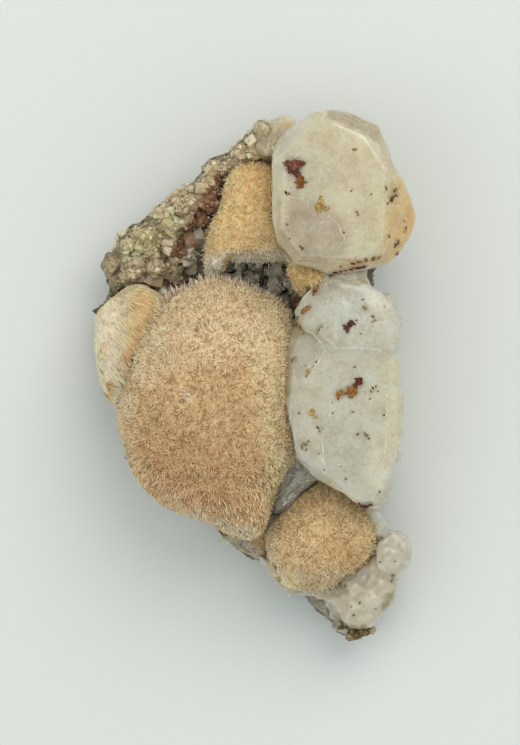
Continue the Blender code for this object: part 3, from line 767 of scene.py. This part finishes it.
sideCrystals = {
    "node": "side_crystals", "voxel": 0.28 * mm, "soft": 2, "swell": 0.06 * mm, "hackly": 0.18 * mm,
    "hackle": 2.6 * mm, "tone": "fff7e2", "clear": 0.45,
    "blocks": [
        {
            "from": 8.0, "to": 30.3,
            "outline": [
                (297, 322), (294.5, 312), (303, 297), (312, 288), (327, 282), (346, 279), (367, 284),
                (384, 296), (392, 304), (393.5, 313), (399, 326), (399, 336), (396, 350), (384, 355),
                (367, 352), (348, 350), (326, 352), (319, 344), (312, 336), (304, 332),
            ],
            "cuts": [
                ((350, 318, 29.5), 108, 3), ((320, 302, 29.0), 135, 22), ((350, 284, 29.0), 90, 18),
                ((385, 299, 28.6), 42, 20), ((391, 322, 28.8), 0, 16), ((392, 342, 28.4), -25, 22),
                ((350, 349, 29.9), -90, 56), ((308, 329, 28.9), 225, 36), ((298, 312, 27.2), 175, 56),
                ((399, 330, 15.0), 2, 114), ((380, 290, 16.0), 50, 112), ((335, 281, 15.0), 100, 112),
            ],
        },
        {
            "from": 7.0, "to": 29.6,
            "outline": [
                (281, 383), (283, 366), (287, 348), (292, 331), (297, 320), (313, 328), (326, 345),
                (348, 343), (367, 346), (384, 351), (397, 354), (399.5, 366), (400, 382), (403, 408),
                (400, 442), (393, 468), (390.5, 493), (385, 503), (376, 509), (361, 507), (343, 493),
                (316, 478), (296, 457), (292, 431), (287, 411),
            ],
            "cuts": [
                ((350, 420, 29.0), 243, 2.2), ((304, 367, 28.6), 128, 15), ((323, 450, 28.7), 200, 10),
                ((379, 410, 28.8), 2, 14), ((397, 410, 28.0), 0, 50), ((394, 360, 27.8), 30, 52),
                ((389, 485, 27.4), -18, 56), ((368, 503, 27.2), -75, 58), ((340, 487, 27.9), 234, 60),
                ((287, 405, 27.6), 175, 62), ((286, 362, 27.0), 155, 58), ((403, 408, 14.0), 0, 113),
                ((376, 509, 13.0), -70, 110), ((330, 485, 14.0), 234, 112),
            ],
        },
        {
            "from": 12.0, "to": 29.0,
            "outline": [
                (317, 284), (325, 268), (345, 261), (362, 262), (367, 270), (366, 283), (358, 290),
                (335, 290),
            ],
            "cuts": [((345, 277, 28.6), 160, 6), ((364, 272, 27.4), 20, 40), ((322, 275, 27.6), 160, 35)],
        },
        {
            "from": 8.5, "to": 18.5,
            "outline": [
                (294, 458), (304, 462), (318, 480), (302, 492), (287, 514), (275, 514), (271, 500),
                (280, 482),
            ],
            "cuts": [((296, 480, 18.0), 250, 14), ((283, 505, 16.6), 235, 22)],
        },
    ],
    "lumps": [
        (386, 303, 23.0, 2.0), (391, 321, 21.5, 2.0), (389, 342, 22.5, 2.0), (391, 364, 23.0, 2.0),
        (394, 396, 19.5, 1.9), (392, 428, 23.0, 2.1), (390, 456, 20.5, 1.9), (384, 484, 21.5, 2.0),
        (360, 286, 22.0, 1.8), (308, 338, 24.5, 2.0), (286, 490, 17.2, 1.3), (300, 474, 18.0, 1.4),
        (294, 484, 17.8, 1.1), (280, 504, 16.4, 1.3), (306, 480, 17.6, 1.1), (367, 508, 16.8, 1.5),
        (373, 516, 16.2, 1.9), (378, 527, 15.6, 1.9), (384, 537, 15.0, 1.5), (372, 530, 14.5, 1.6),
    ],
    "regions": [
        ("e8e0cc", (316, 298), (328, 290), 14, 0.7), ("fff8e4", (345, 276), (362, 272), 14, 1.0),
        ("fff6e6", (385, 305), (394, 340), 10, 0.8), ("fffaec", (335, 316), (368, 312), 22, 0.6),
        ("e6dac2", (290, 365), (312, 345), 16, 0.8), ("eee4cc", (300, 400), (310, 440), 20, 0.6),
        ("f2efdc", (345, 430), (345, 460), 22, 0.8), ("fff2d4", (390, 370), (396, 440), 12, 0.8),
        ("ffffee", (319, 341), (326, 350), 2.5, 0.6), ("fffcee", (327, 347), (390, 350), 2.5, 0.5),
        ("fbf6e2", (327, 428), (323, 462), 2.2, 0.5), ("d6cc9e", (293, 322), (298, 332), 7, 0.7),
        ("ece8da", (300, 470), (275, 508), 20, 1.0), ("c4baa8", (272, 492), (282, 512), 7, 0.8),
    ],
}
footCrystals = {
    "node": "foot_crystals", "voxel": 0.28 * mm, "soft": 1, "swell": 0.1 * mm, "hackly": 0.5 * mm,
    "hackle": 1.6 * mm, "tone": "f3e3cb", "clear": 0.34,
    "blocks": [
        {
            "from": 8.0, "to": 16.8,
            "outline": [
                (377, 540), (381, 533), (389, 531), (400, 533), (408, 538), (412, 547), (412, 558),
                (408, 568), (400, 574), (388, 575), (378, 568), (375, 554),
            ],
            "cuts": [
                ((394, 553, 16.7), 20, 5), ((404, 538, 15.6), 45, 50), ((409, 552, 15.4), 0, 52),
                ((402, 568, 15.6), -50, 52), ((385, 535, 15.8), 120, 50), ((410, 552, 11.0), 0, 118),
                ((400, 573, 11.0), -65, 116),
            ],
        },
        {
            "from": 4.5, "to": 14.8,
            "outline": [
                (330, 594), (338, 577), (350, 567), (368, 565), (386, 572), (398, 577), (398, 590),
                (391, 606), (379, 619), (373, 628), (360, 632), (348, 627), (336, 612),
            ],
            "cuts": [
                ((365, 590, 14.7), 260, 5), ((350, 573, 13.9), 140, 34), ((392, 585, 13.6), 5, 44),
                ((385, 607, 13.0), -42, 48), ((366, 622, 12.4), -80, 36), ((343, 600, 13.2), 195, 46),
            ],
        },
        {
            "from": 5.0, "to": 12.0,
            "outline": [
                (258, 556), (266, 556), (284, 572), (300, 580), (318, 584), (340, 580), (344, 600),
                (330, 604), (312, 596), (298, 588), (296, 597), (290, 599), (281, 590), (268, 576),
            ],
            "cuts": [((285, 582, 10.5), 235, 28), ((325, 592, 11.6), 240, 14)],
        },
    ],
    "lumps": [
        (345, 628, 8.5, 1.7), (372, 598, 13.0, 2.4), (352, 590, 13.2, 2.2), (384, 588, 12.6, 2.0),
        (364, 612, 11.6, 2.3), (380, 604, 11.0, 1.7), (371, 580, 13.2, 1.9), (354, 612, 10.6, 1.9),
        (336, 598, 11.2, 1.5), (344, 588, 12.2, 1.6), (333, 604, 8.6, 1.8), (338, 614, 8.2, 1.8),
        (343, 623, 7.6, 1.5), (352, 631, 7.4, 1.5), (362, 629, 8.2, 1.6), (278, 574, 9.8, 1.2),
        (290, 586, 9.6, 1.3), (306, 588, 10.6, 1.2), (386, 572, 13.6, 1.6), (376, 566, 14.2, 1.6),
    ],
    "regions": [
        ("e6e0ce", (394, 553), (402, 553), 18, 0.9), ("d8cfbe", (345, 575), (362, 578), 10, 0.8),
        ("f6ecd2", (360, 598), (365, 612), 12, 0.6), ("b3aa7c", (388, 606), (393, 598), 7, 0.8),
        ("a29078", (338, 586), (344, 590), 5, 0.6), ("7e6226", (350, 632), (364, 634), 7, 0.8),
        ("e8e2d2", (342, 626), (346, 630), 6, 0.9), ("cfc2a8", (378, 596), (386, 590), 6, 0.5),
        ("e6dcc4", (268, 560), (300, 590), 12, 0.8), ("d0c2a8", (300, 594), (330, 618), 7, 0.6),
    ],
}


def milkyFinish(looks):
    made, tree, shader = newMaterial(
        looks["node"] + "Milk", Roughness=0.12, IOR=1.52, Subsurface_Weight=1.0, Subsurface_Scale=3.0 * mm,
        Transmission_Weight=looks["clear"], Coat_Weight=0.5, Coat_Roughness=0.08)
    shader.inputs["Subsurface Radius"].default_value = (1.0, 0.92, 0.75)
    coords = objectCoords(tree)
    colour = attribute(tree, "paint", 0)
    # clouds, veils and fine grain: size, detail, roughness, dark tone, where it ends, strength
    for size, detail, roughness, tone, low, high, much in (
        (3.5, 6.0, 0.62, "e6e2d8", 0.3, 0.6, 1.0), (0.9, 4.0, 0.7, "e6e2d8", 0.3, 0.5, 0.7),
        (0.3, 3.0, 0.6, "f2f0ea", 0.35, 0.5, 0.8),
    ):
        stops = [(low, tone), (high, "ffffff")]
        mottled = ramp(tree, grains(tree, coords, size * mm, detail, roughness), stops)
        colour = blended(tree, much, colour, mottled, "MULTIPLY")
    white = between(tree, grains(tree, coords, 1.5 * mm, 5.0, 0.7), 0.58, 0.7, 0.0, 0.3)
    colour = blended(tree, white, colour, "fcf8ec")
    middling = calculate(tree, "SUBTRACT", grains(tree, coords, 4 * mm, 3.0, 0.5), 0.5)
    folds = between(tree, calculate(tree, "ABSOLUTE", middling), 0.008, 0.0, 0.0, 0.4)
    colour = blended(tree, folds, colour, "fffcf2")
    # a painted highlight whitens the crystal along its ridges
    edges = between(tree, attribute(tree, "ridge"), 0.15, 1.0, 0.0, 0.2)
    colour = blended(tree, edges, colour, "fffcf2")
    drift = grains(tree, coords, 0.8 * mm, 3.0, 0.7, 1)
    wander = add(tree, "VectorMath", {0: drift, 1: (1.2 * mm,) * 3, 2: coords}, operation="MULTIPLY_ADD")
    dirt = add(tree, "TexVoronoi", {"Vector": wander, "Scale": 1 / (2.4 * mm)})
    colour = blended(tree, between(tree, dirt, 0.07, 0.03, 0.0, 0.55), colour, "5b4426")
    tree.links.new(colour, shader.inputs["Base Color"])
    rough, fine = grains(tree, coords, 1.8 * mm, 7.0, 0.6), grains(tree, coords, 0.35 * mm, 2.0)
    bumped(tree, shader, calculate(tree, "ADD", rough, fine), 0.22, 0.12 * mm)
    return made


def crystalBlock(block):
    bm = bmesh.new()
    ring = [bm.verts.new((*fromPhoto(*corner), block["from"] * mm)) for corner in block["outline"]]
    bmesh.ops.contextual_create(bm, geom=ring)
    raised = bmesh.ops.extrude_face_region(bm, geom=bm.faces[:])
    up = [part for part in raised["geom"] if isinstance(part, bmesh.types.BMVert)]
    bmesh.ops.translate(bm, verts=up, vec=(0, 0, (block["to"] - block["from"]) * mm))
    for (across, below, height), azimuth, tilt in block["cuts"]:
        cutAway(bm, (*fromPhoto(across, below), height * mm), wayTo(azimuth, tilt))
    bmesh.ops.recalc_face_normals(bm, faces=bm.faces)
    return bm


def cutAway(bm, place, out):
    every = bm.verts[:] + bm.edges[:] + bm.faces[:]
    bmesh.ops.bisect_plane(bm, geom=every, plane_co=place, plane_no=out, clear_outer=True)
    bmesh.ops.holes_fill(bm, edges=[edge for edge in bm.edges if edge.is_boundary], sides=0)


def crystalLump(across, below, height, size, draw):  # a small crystal with faces turned at random
    bm = bmesh.new()
    bmesh.ops.create_icosphere(bm, subdivisions=3, radius=size * mm)
    for _ in range(9):
        out = Vector(draw.normal(size=3)).normalized()
        cutAway(bm, out * size * draw.uniform(0.66, 0.86) * mm, out)
    bmesh.ops.translate(bm, verts=bm.verts, vec=(*fromPhoto(across, below), height * mm))
    bmesh.ops.recalc_face_normals(bm, faces=bm.faces)
    return bm


def growCrystal(looks):
    node = looks["node"]
    draw = np.random.default_rng(len(node))
    bm = bmesh.new()
    for block in looks["blocks"]:
        addTo(bm, crystalBlock(block))
    for lump in looks["lumps"]:
        addTo(bm, crystalLump(*lump, draw))
    crystal = shaped(node + "Milky", bm, REMESH=remeshed(looks["voxel"]))
    bm = bmesh.new()
    bm.from_mesh(crystal.data)
    axes = {"use_axis_x": True, "use_axis_y": True, "use_axis_z": True}
    for _ in range(looks["soft"]):
        bmesh.ops.smooth_vert(bm, verts=bm.verts, factor=0.5, **axes)
    bm.normal_update()
    spread = [sum((e.other_vert(v).co for e in v.link_edges), Vector()) / len(v.link_edges) for v in bm.verts]
    ridge = np.array([(v.co - middle).dot(v.normal) for v, middle in zip(bm.verts, spread)])
    bm.to_mesh(crystal.data)
    bm.free()
    places, normals = placesOf(crystal.data), placesOf(crystal.data, "normal")
    waves = noiseAt(places, 4 * mm, 3.0) + noiseAt(places, 1.3 * mm, 5.0, 3) * 0.7
    hackles = cellsAt(places + swirlAt(places, 3 * mm) * mm, looks["hackle"])
    steep = 1 - smoothStep(np.abs(normals[:, 2]), 0.4, 0.8)
    bands = noiseAt(places * (0.12, 0.12, 1.0), 0.9 * mm, 12.0) * steep  # growth bands on the sides
    push = waves * looks["swell"] + (0.4 - hackles) * looks["hackly"] + bands * 0.12 * mm
    movePoints(crystal.data, places + normals * push[:, None])
    # the ridge share feeds the painted highlight along the crystal's edges
    paint(crystal.data, "ridge", np.clip(ridge / (0.03 * mm), 0, 1))
    halos = [  # rust stains the crystal round each flake
        (tone, (across, below), (across, below), reach * 1.7, 0.3)
        for tone, spots in flakeLooks["flakes"].items() for across, below, reach in spots
    ]
    outer = normals[:, 2] > 0.2
    tones = regionTones(places, looks["tone"], looks["regions"], 0.5 * mm)
    tones[outer] = regionTones(places[outer], looks["tone"], looks["regions"] + halos, 0.5 * mm)
    paint(crystal.data, "paint", tones)
    setSmooth(crystal.data, True)
    rideAs(crystal, "milky_crystal", milkyFinish(looks), node)
    print(node, "has", len(crystal.data.polygons), "faces")
    return crystal


# bright lines where crystals meet, and fine hairs: start, end, count, spread, share of the width
seamLooks = {
    "seams": [
        [
            (314, 113), (320, 113), (327, 122), (343, 127), (357, 133), (368, 140), (378, 152),
            (384, 164), (392, 178), (396, 190),
        ],
        [(324, 214), (338, 227), (345, 245), (344, 260)],
        [(386, 190), (384, 216), (387, 245), (380, 256)],
        [(273, 160), (280, 150), (292, 143), (308, 132)],
        [(304, 330), (313, 334), (319, 341), (326, 349), (346, 348), (367, 348), (384, 352), (394, 354)],
        [(280, 385), (298, 374), (317, 363), (326, 349)],
        [(326, 429), (322, 437), (323, 460), (325, 470), (333, 485)],
        [(294, 312), (303, 298), (313, 289), (327, 283), (346, 280), (366, 285)],
        [(326, 284), (330, 296), (324, 312), (326, 330)],
        [(288, 412), (292, 432), (297, 456), (306, 468), (316, 478), (332, 485), (344, 493), (357, 503)],
        [(383, 366), (386, 400), (385, 440), (382, 470)],
        [(392, 304), (394, 314), (399, 326), (399, 336), (396, 347)],
    ],
    "hairs": [
        ((296, 462), (302, 490), 80, 0.8, 1.0), ((310, 478), (286, 508), 80, 0.8, 1.0),
        ((290, 470), (275, 508), 60, 0.8, 1.0), ((330, 370), (350, 480), 70, 4.5, 0.35),
        ((325, 310), (375, 320), 40, 3.0, 0.35), ((320, 150), (345, 240), 50, 6.0, 0.35),
    ],
    "tone": "fffcf0", "width": 0.085 * mm,
}


def traceSeams(crystals):
    draw = np.random.default_rng(23)
    trees = treesOver(crystals)
    roots, tips, girths = [], [], []

    def addLine(root, tip, girth):  # unless it would leap from one height to another
        if root and tip and abs(root.z - tip.z) < 0.5 * mm:
            roots.append(root)
            tips.append(tip)
            girths.append(girth)

    for seam in seamLooks["seams"]:
        corners = np.array([fromPhoto(*corner) for corner in seam])
        along = np.concatenate([[0], np.cumsum(np.hypot(*np.diff(corners, axis=0).T))])
        steps = np.arange(0, along[-1], 0.45 * mm)
        x = np.interp(steps, along, corners[:, 0]) + draw.normal(size=len(steps)) * 0.07 * mm
        y = np.interp(steps, along, corners[:, 1]) + draw.normal(size=len(steps)) * 0.07 * mm
        places = [highest(trees, *place)[0] for place in zip(x, y)]
        for root, tip in zip(places, places[1:]):
            if root and tip and abs(root.z - tip.z) < 0.5 * mm and draw.random() < 0.75:
                addLine(root, tip, 0.8)
    for start, end, count, spread, slim in seamLooks["hairs"]:
        (x0, y0), (x1, y1) = fromPhoto(*start), fromPhoto(*end)
        for share in draw.random(count):
            x = x0 + share * (x1 - x0) + draw.normal() * spread * mm
            y = y0 + share * (y1 - y0) + draw.normal() * spread * mm
            turn, half = draw.uniform(0, math.pi), draw.uniform(0.25, 0.8) * mm
            root = highest(trees, x - math.cos(turn) * half, y - math.sin(turn) * half)[0]
            tip = highest(trees, x + math.cos(turn) * half, y + math.sin(turn) * half)[0]
            addLine(root, tip, slim)
    thick = draw.uniform(0.5, 1.1, (len(roots), 1)) * np.array(girths)[:, None] * seamLooks["width"]
    seams = needleMesh("brightSeams", np.array(roots), np.array(tips), thick, draw)
    paint(seams.data, "paint", np.tile(linear(seamLooks["tone"]), (len(roots) * 6, 1)))
    rideAs(seams, "milky_crystal", glassyFinish("brightSeams", 0.0))
    print("there are", len(roots), "bright seams")


# flakes of rust and specks of dirt on the crystals, as a pixel and a reach. Their thickness is a share of it.
flakeLooks = {
    "thick": 0.22,
    "flakes": {
        "925c48": [
            (292, 167, 5), (297, 166, 4), (287, 166, 2.5), (302, 165, 2.5), (294, 172, 4.5),
            (297, 177, 3.5), (291, 171, 3),
        ],
        "c27e46": [(299, 180, 3), (301, 185, 3.2), (299.5, 189, 2.2), (297, 184, 2), (302, 180, 1.6)],
        "d8b46c": [
            (320, 203, 2.6), (318.5, 208, 3), (322, 209, 2.8), (318, 212, 2.2), (326, 211, 1.8),
            (320, 199, 1.4),
        ],
        "86623e": [
            (353, 152, 1.4), (385, 191, 1.4), (384, 189, 1.1), (393, 193, 1.5), (395, 191, 1.1),
            (392, 199, 1.8), (390, 202, 1.8), (395, 197, 1.4), (386, 205, 1.1), (396, 245, 1.8),
            (394, 247, 1.6), (397, 242, 1.1), (396, 255, 1.6), (350, 193, 1.0), (356, 214, 1.0),
            (357, 217, 0.9), (370, 196, 0.8), (286, 195, 1.5), (289, 196, 1.0), (287, 226, 1.0),
            (302, 250, 1.4), (300, 248, 0.9), (388, 238, 1.2), (403, 222, 1.1), (405, 229, 1.2),
            (404, 233, 0.8), (343, 234, 0.9), (289, 240, 1.0),
        ],
        "8a5238": [
            (331, 275, 2.2), (335, 273.5, 2.6), (340, 272.5, 1.8), (345, 271.5, 1.6), (350, 270.5, 1.8),
            (355, 269.5, 2.0), (360, 268.5, 2.6), (363, 268, 2.0),
        ],
        "c8924e": [
            (352, 265, 2.0), (358, 263, 2.2), (365, 261, 2.2), (372, 260, 2.4), (378, 259, 1.8),
            (340, 268, 1.6),
        ],
        "805442": [
            (349, 325, 3.2), (346, 328, 2.4), (352, 323, 2.0), (347, 331, 1.6), (343, 326, 1.2),
            (356, 321, 1.0),
        ],
        "b27e4a": [
            (304, 311, 2.6), (308, 308, 2.0), (302, 313, 1.6), (314, 291, 2.4), (317, 288, 1.6),
            (313, 294, 1.4),
        ],
        "7e4632": [(357, 383, 3.0), (359, 380, 2.4), (354, 386, 2.4), (356, 379, 1.8)],
        "be843f": [
            (351, 390, 3.4), (348, 392, 2.6), (353, 394, 2.4), (350, 397, 1.6), (344, 394, 1.4),
            (339, 393, 2.6), (337, 396, 2.2), (341, 392, 1.6), (355, 391, 1.6),
        ],
        "dcbc78": [
            (312, 411, 2.4), (310, 413, 1.8), (314, 416, 1.6), (308, 371, 1.8), (306, 375, 1.6),
            (305, 366, 1.0),
        ],
        "703c28": [
            (281, 381, 2.4), (284, 383, 1.5), (362, 505, 2.4), (366, 506, 2.8), (370, 504, 2.0),
            (358.5, 503, 1.6),
        ],
        "a8905c": [
            (305, 444, 1.8), (302, 447, 1.6), (308, 441, 1.2), (306, 449, 1.0), (372, 317, 1.5),
            (374, 321, 1.2), (371, 322, 0.9), (363, 308, 1.4), (365, 309, 1.0), (360, 334, 0.9),
            (318, 330, 1.3), (321, 327, 1.0), (317, 333, 0.8),
        ],
        "b09450": [
            (292, 320, 2.4), (289, 323, 2.0), (296, 324, 2.4), (300, 328, 1.8), (303, 334, 1.4),
            (297, 318, 1.6), (290, 316, 1.2),
        ],
        "86704a": [
            (362, 300, 0.9), (384, 307, 0.8), (357, 434, 1.3), (366, 435, 1.4), (368, 438, 1.0),
            (364, 433, 0.9), (383, 415, 1.0), (369, 399, 0.9), (299, 413, 1.1), (287, 410, 1.0),
            (286, 407, 0.8), (317, 427, 1.3), (319, 431, 0.9), (345, 478, 1.0), (379, 491, 1.1),
            (324, 469, 0.9), (318, 453, 0.9), (332, 413, 0.8), (332, 402, 0.7), (292, 361, 1.3),
            (294, 358, 0.8), (316, 362, 1.2), (313, 366, 0.8), (354, 367, 1.1), (372, 388, 1.2),
            (370, 391, 1.0), (375, 386, 0.9), (352, 412, 1.0), (377, 391, 0.8), (382, 538, 1.2),
            (380, 562, 0.8), (395, 562, 0.7), (393, 576, 1.4), (392, 582, 1.4), (394, 579, 0.9),
            (360, 604, 1.0), (352, 607, 0.8), (354, 616, 1.2), (337, 581, 1.4), (341, 583, 1.2),
            (345, 586, 1.0), (376, 610, 0.9),
        ],
    },
}


def flakeFinish():
    made, tree, shader = newMaterial("rustyFlakes", Roughness=0.7, Specular_IOR_Level=0.15)
    coords = objectCoords(tree)
    mottled = ramp(tree, grains(tree, coords, 0.5 * mm, 5.0, 0.7), [(0.3, "806a5a"), (0.68, "ffffff")])
    coloured(tree, shader, 1.0, attribute(tree, "paint", 0), mottled)
    bumped(tree, shader, grains(tree, coords, 0.3 * mm, 4.0, 0.7), 0.5, 0.12 * mm)
    return made


def layFlakes(crystals):
    draw = np.random.default_rng(11)
    trees = treesOver(crystals)
    bm = bmesh.new()
    tones = []
    for tone, spots in flakeLooks["flakes"].items():
        for across, below, reach in spots:
            place, normal = highest(trees, *fromPhoto(across, below))
            if place is None:
                continue
            flake = bmesh.new()
            bmesh.ops.create_icosphere(flake, subdivisions=3 if reach > 1.5 else 2, radius=1.0)
            spin = Quaternion((0, 0, 1), draw.uniform(0, math.tau))
            turn = (normal.to_track_quat("Z", "Y") @ spin).to_matrix()
            shift, stretch = Vector(draw.uniform(0, 50, 3)), draw.uniform(0.6, 1.0)
            for vert in flake.verts:
                spot = vert.co
                rough = 1 + 0.9 * noise.noise(spot * 1.9 + shift) + 0.7 * noise.noise(spot * 4.5 + shift)
                spot = Vector((spot.x / stretch, spot.y * stretch, spot.z * flakeLooks["thick"])) * rough
                vert.co = place + turn @ spot * reach * pixel
            tones += [np.array(linear(tone)) * draw.uniform(0.7, 1.3)] * len(flake.verts)
            addTo(bm, flake)
    flakes = shaped("rustyFlakes", bm)
    paint(flakes.data, "paint", np.array(tones))
    setSmooth(flakes.data, True)
    rideAs(flakes, "druse_rock", flakeFinish())
    print("the flakes are laid")


# floor, lights and camera

studio = {
    "floor": "e1e2dd", "lampSize": 0.6, "lampTone": "fffaf4", "lampAt": (0.2, 0.38, 0.6),
    "lampPower": 1.97, "fillAt": (-0.35, -0.1, 0.6), "fillPower": 0.42, "sky": ("e1ebed", 0.86),
    "cameraHeight": 1.5, "focus": 18 * mm,
}


def aimed(thing, place, target=(0.0, 0.0, 0.0)):
    thing.location = place
    thing.rotation_euler = (Vector(target) - Vector(place)).to_track_quat("-Z", "Y").to_euler()
    bpy.context.scene.collection.objects.link(thing)


def softLamp(name, place, size, power):
    lamp = bpy.data.lights.new(name, "AREA")
    lamp.shape = "DISK"
    lamp.size = size
    lamp.energy = power
    lamp.color = linear(studio["lampTone"])
    aimed(bpy.data.objects.new(name, lamp), place)


def setStudio():
    bm = bmesh.new()
    bmesh.ops.create_grid(bm, x_segments=1, y_segments=1, size=2.5)
    floor = shaped("floor", bm)
    material, tree, shader = newMaterial("paleFloor", Roughness=0.85)
    mottled = grains(tree, objectCoords(tree), 60 * mm, 2.0)
    tree.links.new(blended(tree, mottled, studio["floor"], "e4e5df"), shader.inputs["Base Color"])
    floor.data.materials.append(material)
    softLamp("window", studio["lampAt"], studio["lampSize"], studio["lampPower"])
    softLamp("fill", studio["fillAt"], 0.5, studio["fillPower"])
    world = bpy.data.worlds.new("room")
    world.use_nodes = True
    light = world.node_tree.nodes["Background"]
    light.inputs[0].default_value = (*linear(studio["sky"][0]), 1.0)
    light.inputs[1].default_value = studio["sky"][1]
    bpy.context.scene.world = world
    bpy.context.scene.view_settings.view_transform = "Standard"
    lens = bpy.data.cameras.new("camera")
    height = studio["cameraHeight"]
    lens.lens = lens.sensor_width * height / (photo["tall"] * pixel)
    lens.clip_end = 10.0
    x, y = fromPhoto(photo["wide"] / 2, photo["tall"] / 2)
    camera = linked("camera", lens)
    camera.location = (x, y, studio["focus"] + height)
    bpy.context.scene.camera = camera
    print("the studio is set")


setStudio()
rockPiece = buildRock()
buildDruse(rockPiece)
for ballLooks in (mainBall, leftBall, upperBall, smallBall, lowerBall):
    growBall(ballLooks)
crystalPieces = [growCrystal(crystalLooks) for crystalLooks in (upperCrystal, sideCrystals, footCrystals)]
traceSeams(crystalPieces)
layFlakes(crystalPieces)
